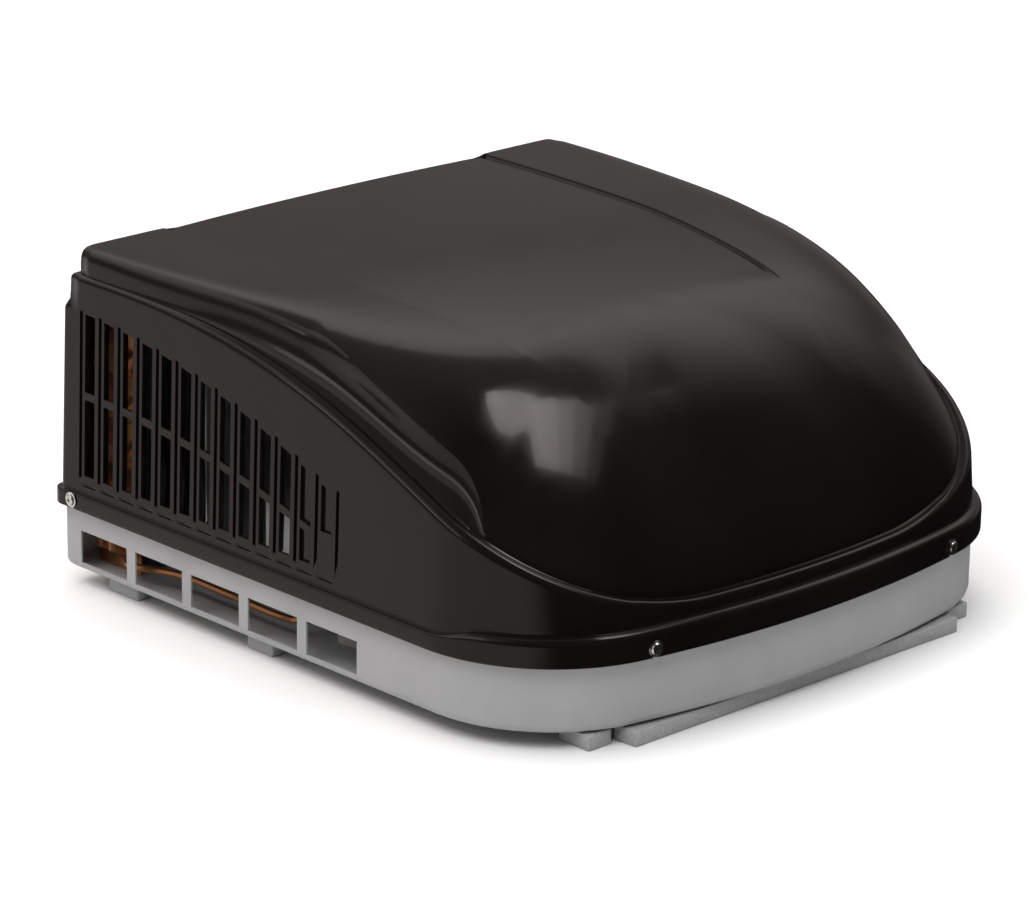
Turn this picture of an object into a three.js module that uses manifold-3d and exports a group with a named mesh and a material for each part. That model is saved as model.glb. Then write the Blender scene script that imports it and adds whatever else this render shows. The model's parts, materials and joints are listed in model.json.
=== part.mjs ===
// Rooftop air conditioner for a caravan or motorhome: a moulded cover on a steel base pan, with
// the condenser, motor, fan, compressor and evaporator that it hides.
// Millimetres, +Z up, the rounded nose faces -Y, the condenser end faces +Y, the feet stand on z = 0.
import * as THREE from 'three';
import { mergeVertices } from 'three/addons/utils/BufferGeometryUtils.js';
import Module from 'manifold-3d';

const wasm = await Module();
wasm.setup();

// ---------------------------------------------------------------- driving dimensions
const WIDTH = 708;
const LENGTH = 737;
const LIP_Z = 86;
const TOP_RISE = 269;
const REAR_RADIUS = 14;
const NOSE_RADIUS = 161.5;
const BOW_RADIUS = 1200;
const TOUCH_GAP = 0.3;

const COVER_WALL = 3;
const COVER_DRAFT = 0.029;
const LIP_HEIGHT = 17;
const WALL_INSET = 6;
const WALL_START = 24;
const RIDGE_HIGH = 244;
const RIDGE_LOW = 43;
const RIDGE_RUN = 830;
const RIDGE_SKEW = 1.47;
const RIDGE_ROUND = 6;
const NOSE_LEAN = 7;
const SHELF_REAR = 7;
const SHELF_WIDTH = 11;
const SHELF_GROWTH = 3;
const FOCUS_FRONT = -111;
const FOCUS_BEND = 60;
const FOCUS_REAR = 300;
const LEVEL_Y = 93;
const LEVEL_BLEND = 40;
const NOSE_FALL = 6.3;
const NOSE_FALL_POWER = 1.42;
const SQUARE_REAR = 80;
const SQUARE_NOSE = 2.4;
const SHOULDER_REAR = 3.8;
const SHOULDER_NOSE = 1.2;
const LIP_GROWTH = 4;
const ROLL_WIDTH = 3;

const LOUVRE_COUNT = 13;
const LOUVRE_FIRST_Y = 315;
const LOUVRE_PITCH = 29.85;
const LOUVRE_WIDTH = 15;
const LOUVRE_BAR = 8;

const PAN_INSET = 9.5;
const PAN_WALL = 2;
const PAN_BOTTOM = 16;
const PAN_TOP = LIP_Z + 15;
const PAN_EDGE_RADIUS = 12;
const WINDOW_LOW = 26;
const WINDOW_HIGH = 61;
const WINDOW_FIRST_Y = 297;
const WINDOW_PITCH = 86.5;
const WINDOW_WIDTH = 73;

const AXLE_Z = 140;
const SHAFT_RADIUS = 6.35;
const BORE_RADIUS = 6.8;
const SCREW_Z = LIP_Z + 9.8;
const TUBE_RADIUS = 4.8;

const FLOOR_Z = PAN_BOTTOM + PAN_WALL;
const CEILING_Z = LIP_Z + TOP_RISE - COVER_WALL;

// ---------------------------------------------------------------- materials
function finish(color, roughness, metalness) {
  return new THREE.MeshStandardMaterial({ color, roughness, metalness });
}
const blackPlastic = finish(0x1b1716, 0.22, 0);
const greyPaint = finish(0x8f9092, 0.6, 0.1);
const darkFoam = finish(0x5f6062, 0.95, 0);
const whiteFoam = finish(0xe8e8e4, 0.9, 0);
const galvanised = finish(0xa9adb0, 0.45, 0.8);
const finStock = finish(0xb9bcbd, 0.5, 0.7);
const copper = finish(0xb06a3c, 0.35, 0.9);
const blackEnamel = finish(0x17181a, 0.45, 0.3);
const darkPlastic = finish(0x26282a, 0.5, 0);
const steel = finish(0xc9ccce, 0.3, 0.95);
const rubber = finish(0x1c1c1c, 0.8, 0);
const redCable = finish(0x8c2318, 0.6, 0);

const group = new THREE.Group();

function piece(name, geometry, material) {
  const mesh = new THREE.Mesh(geometry, material);
  mesh.name = name;
  group.add(mesh);
  return mesh;
}

// ---------------------------------------------------------------- solid helpers
function weld(geometry) {
  const bare = geometry.clone();
  bare.deleteAttribute('normal');
  bare.deleteAttribute('uv');
  return mergeVertices(bare, 0.001);
}

function toSolid(geometry) {
  const welded = weld(geometry);
  const vertProperties = new Float32Array(welded.attributes.position.array);
  const triVerts = new Uint32Array(welded.index.array);
  return new wasm.Manifold(new wasm.Mesh({ numProp: 3, vertProperties, triVerts }));
}

function toGeometry(solid) {
  const mesh = solid.getMesh();
  const geometry = new THREE.BufferGeometry();
  geometry.setAttribute('position', new THREE.BufferAttribute(mesh.vertProperties, 3));
  geometry.setIndex(new THREE.BufferAttribute(mesh.triVerts, 1));
  geometry.computeVertexNormals();
  return geometry;
}

function cut(body, tools) {
  return tools.reduce((rest, tool) => rest.subtract(toSolid(tool)), toSolid(body));
}

function join(parts) {
  return parts.slice(1).reduce((sum, part) => sum.add(toSolid(part)), toSolid(parts[0]));
}

// A box given by its lowest and highest corners.
function block(low, high) {
  const size = high.map((value, i) => value - low[i]);
  const middle = high.map((value, i) => (value + low[i]) / 2);
  return new THREE.BoxGeometry(...size).translate(...middle);
}

function rodZ(radius, low, high, sides = 16) {
  const rod = new THREE.CylinderGeometry(radius, radius, high - low, sides);
  return rod.rotateX(Math.PI / 2).translate(0, 0, (low + high) / 2);
}

// A cylinder along X, on the origin's line.
function rodX(radius, low, high, sides = 12) {
  const rod = new THREE.CylinderGeometry(radius, radius, high - low, sides);
  return rod.rotateZ(-Math.PI / 2).translate((low + high) / 2, 0, 0);
}

// A solid of revolution about the axle line, from (radius, y) corners.
function turnedY(corners, sides = 20) {
  const profile = corners.map(([radius, y]) => new THREE.Vector2(radius, y));
  return new THREE.LatheGeometry(profile, sides).translate(0, 0, AXLE_Z);
}

// A solid of revolution about a vertical line, from (radius, z) corners.
function turnedZ(corners, sides = 20) {
  const profile = corners.map(([radius, z]) => new THREE.Vector2(radius, z));
  return new THREE.LatheGeometry(profile, sides).rotateX(Math.PI / 2);
}

// A closed ring profile for turned parts: four corners between two radii and two stations.
function ringCorners(inner, outer, low, high) {
  return [[inner, low], [outer, low], [outer, high], [inner, high], [inner, low]];
}

// A flat shape in the XZ plane, made solid from y = low to y = high.
function slabY(shape, low, high, curveSegments = 12) {
  const options = { depth: high - low, bevelEnabled: false, curveSegments };
  return new THREE.ExtrudeGeometry(shape, options).rotateX(Math.PI / 2).translate(0, high, 0);
}

// A round tube through a list of points, with smooth bends.
function tube(points, radius, sides = 8, steps = 24) {
  const stations = points.map((p) => new THREE.Vector3(...p));
  const path = new THREE.CatmullRomCurve3(stations, false, 'centripetal');
  const section = new THREE.Shape(circlePoints(radius, sides));
  return new THREE.ExtrudeGeometry(section, { extrudePath: path, steps });
}

function circlePoints(radius, sides) {
  const points = [];
  for (let i = 0; i < sides; i += 1) {
    const angle = (2 * Math.PI * i) / sides;
    points.push(new THREE.Vector2(radius * Math.cos(angle), radius * Math.sin(angle)));
  }
  return points;
}

// ---------------------------------------------------------------- plan outline
// The outline that the cover's lip and the pan share: straight rear and sides, small rear corners,
// large nose corners and a bowed front. It runs counter-clockwise from the middle of the rear edge.
const REAR_STEPS = 4;
const REAR_CORNER_STEPS = 2;
const SIDE_STEPS = 11;
const NOSE_STEPS = 7;
const FRONT_STEPS = 4;

function noseCentre() {
  const bowCentreY = -LENGTH / 2 + BOW_RADIUS;
  const x = -(WIDTH / 2 - NOSE_RADIUS);
  const reach = BOW_RADIUS - NOSE_RADIUS;
  return { x, y: bowCentreY - Math.sqrt(reach * reach - x * x), bowCentreY };
}

function leftHalfOutline(inset) {
  const points = [];
  const nose = noseCentre();
  const rearRadius = Math.max(REAR_RADIUS - inset, 2);
  const sideX = -(WIDTH / 2 - inset);
  const rearY = LENGTH / 2 - inset;
  const cornerX = sideX + rearRadius;
  for (let i = 0; i < REAR_STEPS; i += 1) {
    points.push([cornerX * (i / REAR_STEPS), rearY]);
  }
  for (let i = 0; i <= REAR_CORNER_STEPS; i += 1) {
    const angle = (Math.PI / 2) * (1 + i / REAR_CORNER_STEPS);
    const y = rearY - rearRadius + rearRadius * Math.sin(angle);
    points.push([cornerX + rearRadius * Math.cos(angle), y]);
  }
  for (let i = 1; i < SIDE_STEPS; i += 1) {
    points.push([sideX, THREE.MathUtils.lerp(rearY - rearRadius, nose.y, i / SIDE_STEPS)]);
  }
  const noseSweep = Math.acos(-nose.x / (BOW_RADIUS - NOSE_RADIUS));
  for (let i = 0; i <= NOSE_STEPS; i += 1) {
    const angle = Math.PI + noseSweep * (i / NOSE_STEPS);
    const radius = NOSE_RADIUS - inset;
    points.push([nose.x + radius * Math.cos(angle), nose.y + radius * Math.sin(angle)]);
  }
  const bowSweep = Math.PI / 2 - noseSweep;
  for (let i = 1; i <= FRONT_STEPS; i += 1) {
    const angle = -Math.PI / 2 - bowSweep * (1 - i / FRONT_STEPS);
    const radius = BOW_RADIUS - inset;
    points.push([radius * Math.cos(angle), nose.bowCentreY + radius * Math.sin(angle)]);
  }
  return points;
}

function wholeOutline(inset) {
  const left = leftHalfOutline(inset);
  const right = left.slice(1, -1).map(([x, y]) => [-x, y]).reverse();
  return [...left, ...right];
}

// A closed solid from rings of equal length, lowest first. The first ring is capped.
// The last ring is capped too, unless its points already meet in a line.
function loft(rings, capTop = true) {
  const count = rings[0].length;
  const positions = rings.flat(2);
  const index = [];
  for (let r = 0; r + 1 < rings.length; r += 1) {
    for (let i = 0; i < count; i += 1) {
      const a = r * count + i;
      const b = r * count + ((i + 1) % count);
      index.push(a, b, b + count, a, b + count, a + count);
    }
  }
  const caps = capTop ? [[0, true], [rings.length - 1, false]] : [[0, true]];
  for (const [r, facesDown] of caps) {
    const centre = positions.length / 3;
    const mean = [0, 1, 2].map((k) => rings[r].reduce((sum, p) => sum + p[k], 0) / count);
    positions.push(...mean);
    for (let i = 0; i < count; i += 1) {
      const a = r * count + i;
      const b = r * count + ((i + 1) % count);
      index.push(...(facesDown ? [centre, b, a] : [centre, a, b]));
    }
  }
  const geometry = new THREE.BufferGeometry();
  geometry.setAttribute('position', new THREE.Float32BufferAttribute(positions, 3));
  geometry.setIndex(index);
  return dropFlatTriangles(mergeVertices(geometry, 0.001));
}

function dropFlatTriangles(geometry) {
  const kept = [];
  const index = geometry.index.array;
  for (let i = 0; i < index.length; i += 3) {
    const [a, b, c] = [index[i], index[i + 1], index[i + 2]];
    if (a !== b && b !== c && c !== a) {
      kept.push(a, b, c);
    }
  }
  geometry.setIndex(kept);
  return geometry;
}

function outlineRing(inset, z) {
  return wholeOutline(inset).map(([x, y]) => [x, y, z]);
}

// ---------------------------------------------------------------- cover
// Distance along the cover's edge, from the rear corner towards the nose.
function edgeRun(x, y) {
  const nose = noseCentre();
  const start = LENGTH / 2 - REAR_RADIUS - 12;
  if (y >= nose.y) {
    return Math.max(0, start - y);
  }
  const side = start - nose.y;
  const radius = NOSE_RADIUS - 12;
  const angle = Math.min(Math.atan2(nose.y - y, nose.x + Math.abs(x)), Math.acos(-nose.x / BOW_RADIUS));
  const corner = radius * Math.max(0, angle);
  const along = Math.abs(x) < -nose.x ? -nose.x - Math.abs(x) : 0;
  return side + (along > 0 ? radius * 1.384 + along : corner);
}

// Height of the ridge that falls from the rear corners and runs round the nose.
function ridgeHeight(x, y) {
  const run = Math.min(edgeRun(x, y) / RIDGE_RUN, 1);
  const wave = (1 + Math.cos(Math.PI * run ** RIDGE_SKEW)) / 2;
  return RIDGE_LOW + (RIDGE_HIGH - RIDGE_LOW) * wave;
}

// Height of the roof's middle line: level at the rear, falling smoothly towards the nose.
function topHeight(y) {
  const ahead = LEVEL_Y - y;
  const fall = (ahead + Math.hypot(ahead, LEVEL_BLEND)) / 2;
  return TOP_RISE - NOSE_FALL * (fall / 100) ** NOSE_FALL_POWER;
}

// The dome's points run from its foot to a focus on the middle line. The focus keeps level with the
// foot along the sides, and holds back round the nose.
function focusFor(footY) {
  if (footY > FOCUS_BEND) {
    return Math.min(footY, FOCUS_REAR);
  }
  const reach = FOCUS_BEND - FOCUS_FRONT;
  return FOCUS_BEND - reach * (1 - Math.exp((footY - FOCUS_BEND) / reach));
}

const DOME_ANGLES = [0, 0.25, 0.5, 0.75, 1.0, 1.25, Math.PI / 2];

// A point on the dome above the ridge, on the way from its foot to the middle of the roof.
// The section is a superellipse: sharp rail edges at the rear, a soft round at the nose.
function domePoint(footX, footY, [lipX, lipY], angle, thickness) {
  const run = edgeRun(lipX, lipY);
  const toNose = THREE.MathUtils.smoothstep(run, -100, 740);
  const square = SQUARE_REAR * (SQUARE_NOSE / SQUARE_REAR) ** toNose;
  const toRound = THREE.MathUtils.smoothstep(run, 317, 593);
  const shoulder = THREE.MathUtils.lerp(SHOULDER_REAR, SHOULDER_NOSE, toRound);
  const share = angle < Math.PI / 2 ? Math.cos(angle) ** (2 / square) : 0;
  const focusY = focusFor(footY);
  const y = focusY + (footY - focusY) * share;
  const base = ridgeHeight(lipX, lipY) + 1;
  const rise = Math.max(topHeight(y) - base, RIDGE_ROUND);
  return [footX * share, y, LIP_Z + base + rise * Math.sin(angle) ** (2 / shoulder) - thickness];
}

// One ring of points per row of the cover's profile. Every ring is shrunk and lowered by the
// thickness, which gives the cover's inside from the same formula.
function coverRings(thickness) {
  const lip = wholeOutline(0);
  const rows = [];
  function addRow(insetAt, heightAt) {
    const insets = lip.map(([x, y]) => insetAt(x, y) + thickness);
    const outlines = new Map([...new Set(insets)].map((inset) => [inset, wholeOutline(inset)]));
    rows.push(insets.map((inset, i) => {
      const [x, y] = outlines.get(inset)[i];
      return [x, y, LIP_Z + heightAt(lip[i][0], lip[i][1]) - thickness];
    }));
  }
  const noseShare = (x, y) => THREE.MathUtils.smoothstep(edgeRun(x, y), 450, 740);
  const widening = (x, y) => THREE.MathUtils.smoothstep(edgeRun(x, y), 40, 250);
  const growth = (x, y) => SHELF_GROWTH * THREE.MathUtils.smoothstep(edgeRun(x, y), 400, 620);
  const shelf = (x, y) => THREE.MathUtils.lerp(SHELF_REAR, SHELF_WIDTH, widening(x, y)) + growth(x, y);
  const roll = (x, y) => THREE.MathUtils.smoothstep(-y, 205, 245);
  const straightInset = (x, y) => WALL_INSET + COVER_DRAFT * (ridgeHeight(x, y) - WALL_START);
  const ridgeInset = (x, y) => straightInset(x, y) + NOSE_LEAN * noseShare(x, y);
  const footInset = (x, y) => straightInset(x, y) + shelf(x, y);
  addRow(() => 0, () => (thickness > 0 ? -10 : 0));
  addRow(() => 0.4, (x, y) => LIP_HEIGHT + LIP_GROWTH * roll(x, y));
  addRow(() => 3, (x, y) => LIP_HEIGHT + 3 + 2 * LIP_GROWTH * roll(x, y));
  addRow((x, y) => WALL_INSET + ROLL_WIDTH * roll(x, y), (x, y) => WALL_START + 6 * roll(x, y));
  addRow((x, y) => ridgeInset(x, y), (x, y) => ridgeHeight(x, y) - RIDGE_ROUND - 1);
  addRow((x, y) => ridgeInset(x, y) + 1.5, (x, y) => ridgeHeight(x, y) - 1);
  addRow((x, y) => ridgeInset(x, y) + RIDGE_ROUND, (x, y) => ridgeHeight(x, y));
  addRow(footInset, (x, y) => ridgeHeight(x, y) + 1);
  const foot = rows.pop();
  for (const angle of DOME_ANGLES) {
    rows.push(foot.map(([x, y], i) => domePoint(x, y, lip[i], angle, thickness)));
  }
  return rows;
}

// The top and the cross bar of each louvre follow two shallow arches.
function louvreTop(run) {
  return 206 - 0.066 * run - 0.000503 * run * run;
}

function louvreBar(run) {
  return 121 - 0.011 * run - 0.000422 * run * run;
}

function louvreBottom(column) {
  return column === LOUVRE_COUNT - 1 ? 74 : 37;
}

function sideLouvres() {
  const tools = [];
  for (let column = 0; column < LOUVRE_COUNT; column += 1) {
    const run = column * LOUVRE_PITCH;
    const y = LOUVRE_FIRST_Y - run;
    const bar = louvreBar(run);
    const whole = [[louvreBottom(column), louvreTop(run)]];
    const split = [[louvreBottom(column), bar - LOUVRE_BAR / 2], [bar + LOUVRE_BAR / 2, louvreTop(run)]];
    const last = column === LOUVRE_COUNT - 1;
    for (const [low, high] of last ? whole : split) {
      for (const side of [-1, 1]) {
        const nearX = side > 0 ? 330 : -360;
        tools.push(block(
          [nearX, y - LOUVRE_WIDTH / 2, LIP_Z + low],
          [nearX + 30, y + LOUVRE_WIDTH / 2, LIP_Z + high],
        ));
      }
    }
  }
  return tools;
}

function rearLouvres() {
  const tools = [];
  for (let column = -8; column <= 8; column += 1) {
    const x = column * 36;
    for (const [low, high] of [[40, 116], [126, 202]]) {
      tools.push(block([x - 11, 340, LIP_Z + low], [x + 11, 372, LIP_Z + high]));
    }
  }
  return tools;
}

const SCREWS = [
  { name: 'front_left', x: -208.7, y: -350.2, turn: Math.atan2(-1181.7, -208.7) },
  { name: 'front_right', x: 208.7, y: -350.2, turn: Math.atan2(-1181.7, 208.7) },
  { name: 'rear_left', x: -WIDTH / 2, y: 336, turn: Math.PI },
  { name: 'rear_right', x: WIDTH / 2, y: 336, turn: 0 },
];

// Places a shape that was built along +X from a screw's seat on the lip.
function atScrew(geometry, screw) {
  return geometry.rotateZ(screw.turn).translate(screw.x, screw.y, SCREW_Z);
}

function addCover() {
  const outside = toSolid(loft(coverRings(0), false));
  const inside = toSolid(loft(coverRings(COVER_WALL), false));
  const slots = SCREWS.map((screw) => atScrew(block([-6, -3, -30], [3, 3, 3]), screw));
  let cover = outside.subtract(inside);
  for (const tool of [...slots, ...sideLouvres(), ...rearLouvres()]) {
    cover = cover.subtract(toSolid(tool));
  }
  piece('cover', toGeometry(cover), blackPlastic);
  piece('cover_seal', block([-150, 220, 300.6], [150, 234, CEILING_Z - 1.5]), darkFoam);
}

// ---------------------------------------------------------------- base pan and what it stands on
const GASKET_Y = -110;
const RETURN_BOX = [[-165, -275], [165, -160]];
const SUPPLY_BOX = [[16, -121], [91, -21]];

function addPan() {
  const steps = [0, 1, 2, 3].map((i) => (Math.PI / 2) * (i / 3));
  const edge = (radius, base, inset) => steps.map((angle) => outlineRing(
    inset + radius * (1 - Math.sin(angle)),
    base + radius * (1 - Math.cos(angle)),
  ));
  const outer = [...edge(PAN_EDGE_RADIUS, PAN_BOTTOM, PAN_INSET), outlineRing(PAN_INSET, PAN_TOP)];
  const hollow = [
    ...edge(PAN_EDGE_RADIUS - PAN_WALL, FLOOR_Z, PAN_INSET + PAN_WALL),
    outlineRing(PAN_INSET + PAN_WALL, PAN_TOP + 10),
  ];
  const tools = [loft(hollow)];
  for (let i = 0; i < 5; i += 1) {
    const y = WINDOW_FIRST_Y - i * WINDOW_PITCH;
    const [rear, front] = [y + WINDOW_WIDTH / 2, y - WINDOW_WIDTH / 2];
    for (const nearX of [-350, 330]) {
      tools.push(block([nearX, front, WINDOW_LOW], [nearX + 20, rear, WINDOW_HIGH]));
    }
  }
  for (const [[x0, y0], [x1, y1]] of [RETURN_BOX, SUPPLY_BOX]) {
    tools.push(block([x0, y0, PAN_BOTTOM - 5], [x1, y1, FLOOR_Z + 5]));
  }
  for (const screw of SCREWS) {
    tools.push(atScrew(rodX(2.7, -16, -4, 10), screw));
  }
  piece('base_pan', toGeometry(cut(loft(outer), tools)), greyPaint);
}

function addSupports() {
  const top = PAN_BOTTOM - TOUCH_GAP;
  const ring = cut(block([-203, GASKET_Y - 203, 0], [203, GASKET_Y + 203, top]), [
    block([-178, GASKET_Y - 178, -5], [178, GASKET_Y + 178, top + 5]),
  ]);
  piece('roof_gasket', toGeometry(ring), darkFoam);
  const pads = [
    { name: 'rear_foot', inner: 284, outer: 330, front: 262, rear: 308 },
    { name: 'middle_foot', inner: 284, outer: 330, front: 54, rear: 92 },
    { name: 'front_foot', inner: 238, outer: 268, front: -324, rear: -283 },
  ];
  for (const { name, inner, outer, front, rear } of pads) {
    piece(`${name}_left`, block([-outer, front, 0], [-inner, rear, top]), darkFoam);
    piece(`${name}_right`, block([inner, front, 0], [outer, rear, top]), darkFoam);
  }
  piece('front_support_strip', block([-228, -346, 0], [228, -316, top]), darkFoam);
}

function addFasteners() {
  for (const screw of SCREWS) {
    const head = turnedScrew();
    piece(`cover_screw_${screw.name}`, atScrew(head, screw), steel);
    const clip = cut(block([-14.5, -7, -8], [-12.2, 7, 6]), [rodX(2.7, -20, -8, 10)]);
    piece(`clip_nut_${screw.name}`, atScrew(toGeometry(clip), screw), galvanised);
  }
}

// A pan-head screw along +X: shank, flat seat and a low domed head.
function turnedScrew() {
  const corners = [
    [0, -19], [1.4, -18], [2.1, -16], [2.1, 0.4], [8, 0.4], [8, 1.8], [6, 3.4], [3, 4], [0, 4],
  ];
  const profile = corners.map(([radius, x]) => new THREE.Vector2(radius, x));
  return new THREE.LatheGeometry(profile, 12).rotateZ(-Math.PI / 2);
}

// ---------------------------------------------------------------- condenser
const COIL_X = 308;
const COIL_FRONT_Y = 283;
const COIL_REAR_Y = 343;
const COIL_ROWS_Y = [293, 313, 333];
const TUBE_PITCH = 24;
const FIRST_TUBE_Z = 36;
const BENDS_PER_ROW = 6;

class ReturnBend extends THREE.Curve {
  constructor(side, y, z) {
    super();
    this.side = side;
    this.y = y;
    this.z = z;
  }

  getPoint(t, target = new THREE.Vector3()) {
    const angle = -Math.PI / 2 + Math.PI * t;
    const out = COIL_X + 1.2 + (TUBE_PITCH / 2) * 1.1 * Math.cos(angle);
    return target.set(this.side * out, this.y, this.z + (TUBE_PITCH / 2) * (1 + Math.sin(angle)));
  }
}

function tubePlate(side) {
  const low = [COIL_X + 0.4, COIL_FRONT_Y - 3, FLOOR_Z + TOUCH_GAP];
  const plate = block(low, [COIL_X + 2, COIL_REAR_Y + 3, 322]);
  if (side < 0) {
    plate.translate(-2 * COIL_X - 2.4, 0, 0);
  }
  const bends = [];
  const section = new THREE.Shape(circlePoints(TUBE_RADIUS, 6));
  COIL_ROWS_Y.forEach((y, row) => {
    for (let i = 0; i < BENDS_PER_ROW; i += 1) {
      const z = FIRST_TUBE_Z + i * 2 * TUBE_PITCH;
      const isInlet = side > 0 && row === 0 && i === BENDS_PER_ROW - 1;
      const isOutlet = side < 0 && row === 0 && i === 0;
      if (!isInlet && !isOutlet) {
        const extrudePath = new ReturnBend(side, y, z);
        bends.push(new THREE.ExtrudeGeometry(section, { extrudePath, steps: 3 }));
      }
    }
  });
  return toGeometry(join([plate, ...bends]));
}

function addCondenser() {
  piece('condenser_fin_pack', block([-COIL_X, COIL_FRONT_Y, 22], [COIL_X, COIL_REAR_Y, 318]), finStock);
  piece('condenser_tube_plate_left', tubePlate(-1), galvanised);
  piece('condenser_tube_plate_right', tubePlate(1), galvanised);
  const panel = new THREE.Shape();
  panel.moveTo(-268, FLOOR_Z + TOUCH_GAP);
  panel.lineTo(268, FLOOR_Z + TOUCH_GAP);
  panel.lineTo(268, 270);
  panel.absarc(238, 270, 30, 0, Math.PI / 2, false);
  panel.absarc(-238, 270, 30, Math.PI / 2, Math.PI, false);
  const collar = turnedY(ringCorners(112, 115, 196, 228), 32);
  const hole = turnedY([[0, 220], [113, 220], [113, 235], [0, 235]], 32);
  const wall = cut(slabY(panel, 226, 228, 4), [hole]);
  piece('fan_bulkhead', toGeometry(wall.add(toSolid(collar))), galvanised);
}

// ---------------------------------------------------------------- motor, fan and blower on one shaft
function addMotor() {
  const shell = [
    [15, 58], [30, 58], [34, 62], [66, 64], [66, 160], [34, 162], [30, 166], [15, 166],
    [15, 154], [60, 152], [60, 72], [15, 70], [15, 58],
  ];
  piece('motor_case', turnedY(shell), blackEnamel);
  piece('motor_stator', turnedY(ringCorners(38, 59.6, 84, 140)), galvanised);
  piece('motor_rotor_core', turnedY(ringCorners(SHAFT_RADIUS + 0.4, 37, 84, 140)), galvanised);
  piece('front_bearing', turnedY(ringCorners(BORE_RADIUS, 14.5, 59, 69), 20), steel);
  piece('rear_bearing', turnedY(ringCorners(BORE_RADIUS, 14.5, 155, 165), 20), steel);
  const shaft = [[0, -112], [SHAFT_RADIUS, -112], [SHAFT_RADIUS, 223], [0, 223]];
  piece('motor_shaft', turnedY(shaft, 16), steel);
  const saddle = new THREE.Shape();
  const reach = Math.sqrt(66.5 * 66.5 - 60 * 60);
  const tilt = Math.atan2(-reach, 60);
  saddle.moveTo(-78, FLOOR_Z + TOUCH_GAP);
  saddle.lineTo(78, FLOOR_Z + TOUCH_GAP);
  saddle.lineTo(78, 22);
  saddle.lineTo(64, 22);
  saddle.absarc(0, AXLE_Z, 66.5, tilt, Math.PI - tilt, true);
  saddle.lineTo(-64, 22);
  saddle.lineTo(-78, 22);
  piece('motor_cradle', slabY(saddle, 96, 124, 10), galvanised);
  const strap = new THREE.Shape();
  strap.absarc(0, AXLE_Z, 69, -0.3, Math.PI + 0.3, false);
  strap.absarc(0, AXLE_Z, 66.5, Math.PI + 0.3, -0.3, true);
  piece('motor_strap', slabY(strap, 100, 120, 14), galvanised);
}

function fanBlade(angle) {
  const blade = new THREE.BoxGeometry(84, 3, 62, 3, 1, 1);
  const position = blade.attributes.position;
  for (let i = 0; i < position.count; i += 1) {
    const reach = (position.getX(i) + 42) / 84;
    const pitch = 0.62 - 0.25 * reach;
    const z = position.getZ(i) * (0.7 + 0.35 * reach);
    const y = position.getY(i);
    position.setY(i, y * Math.cos(pitch) - z * Math.sin(pitch));
    position.setZ(i, y * Math.sin(pitch) + z * Math.cos(pitch));
  }
  return blade.translate(20 + 42, 208, 0).rotateY(angle).translate(0, 0, AXLE_Z);
}

function addFan() {
  const hub = turnedY(ringCorners(SHAFT_RADIUS + 0.4, 26, 192, 220), 20);
  const blades = [0, 1, 2, 3, 4].map((i) => fanBlade((2 * Math.PI * i) / 5));
  piece('condenser_fan', toGeometry(join([hub, ...blades])), darkPlastic);
}

const WHEEL_RADIUS = 62;
const WHEEL_BLADES = 16;

function addBlower() {
  const hub = turnedY(ringCorners(SHAFT_RADIUS + 0.4, 16, -62, -28), 16);
  const disc = turnedY(ringCorners(12, WHEEL_RADIUS, -32, -28), 24);
  const rim = turnedY(ringCorners(49, WHEEL_RADIUS, -112, -108), 24);
  const blades = [];
  for (let i = 0; i < WHEEL_BLADES; i += 1) {
    const blade = new THREE.BoxGeometry(10, 82, 2).rotateY(0.5).translate(55.5, -70, 0);
    blades.push(blade.rotateY((2 * Math.PI * i) / WHEEL_BLADES).translate(0, 0, AXLE_Z));
  }
  piece('blower_wheel', toGeometry(join([hub, disc, rim, ...blades])), galvanised);
}

const SCROLL_RADIUS = 95;
const SCROLL_SHRINK = 24;

// The scroll's radius grows round the wheel and ends in a duct that points down.
function scrollShape(extra) {
  const shape = new THREE.Shape();
  shape.moveTo(SCROLL_RADIUS + extra, FLOOR_Z + TOUCH_GAP - (extra > 0 ? 0 : 10));
  for (let i = 0; i <= 18; i += 1) {
    const angle = (Math.PI * 1.42 * i) / 18;
    const radius = SCROLL_RADIUS - SCROLL_SHRINK * (i / 18) + extra;
    shape.lineTo(radius * Math.cos(angle), AXLE_Z + radius * Math.sin(angle));
  }
  shape.lineTo(12 - extra, 60);
  shape.lineTo(12 - extra, FLOOR_Z + TOUCH_GAP - (extra > 0 ? 0 : 10));
  return shape;
}

function addBlowerHousing() {
  const outer = slabY(scrollShape(3), -128, -14);
  const tools = [
    slabY(scrollShape(0), -125, -17),
    turnedY([[0, -140], [46, -140], [46, -120], [0, -120]], 24),
    turnedY([[0, -22], [20, -22], [20, -5], [0, -5]], 16),
  ];
  piece('blower_housing', toGeometry(cut(outer, tools)), darkPlastic);
}

// ---------------------------------------------------------------- evaporator
const HOUSING_WALL = 12;

// The housing's plan, open to the pan below: straight sides and rear, round nose corners.
function housingSolid(inset, low) {
  const side = 285 - inset;
  const front = -300 + inset;
  const rear = 8 - inset;
  const radius = 130 - inset;
  const plan = new THREE.Shape();
  plan.moveTo(side, rear);
  plan.lineTo(-side, rear);
  plan.lineTo(-side, front + radius);
  plan.absarc(-side + radius, front + radius, radius, Math.PI, Math.PI * 1.5, false);
  plan.absarc(side - radius, front + radius, radius, Math.PI * 1.5, Math.PI * 2, false);
  const tall = new THREE.ExtrudeGeometry(plan, { depth: 300, bevelEnabled: false, curveSegments: 5 });
  const profile = new THREE.Shape();
  profile.moveTo(-400, low);
  profile.lineTo(50, low);
  profile.lineTo(50, 250 - inset);
  profile.lineTo(-150, 250 - inset);
  profile.lineTo(-400, 62 - inset);
  const wedge = new THREE.ExtrudeGeometry(profile, { depth: 700, bevelEnabled: false });
  wedge.rotateX(Math.PI / 2).rotateZ(Math.PI / 2).translate(-350, 0, 0);
  return toSolid(tall).intersect(toSolid(wedge));
}

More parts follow.
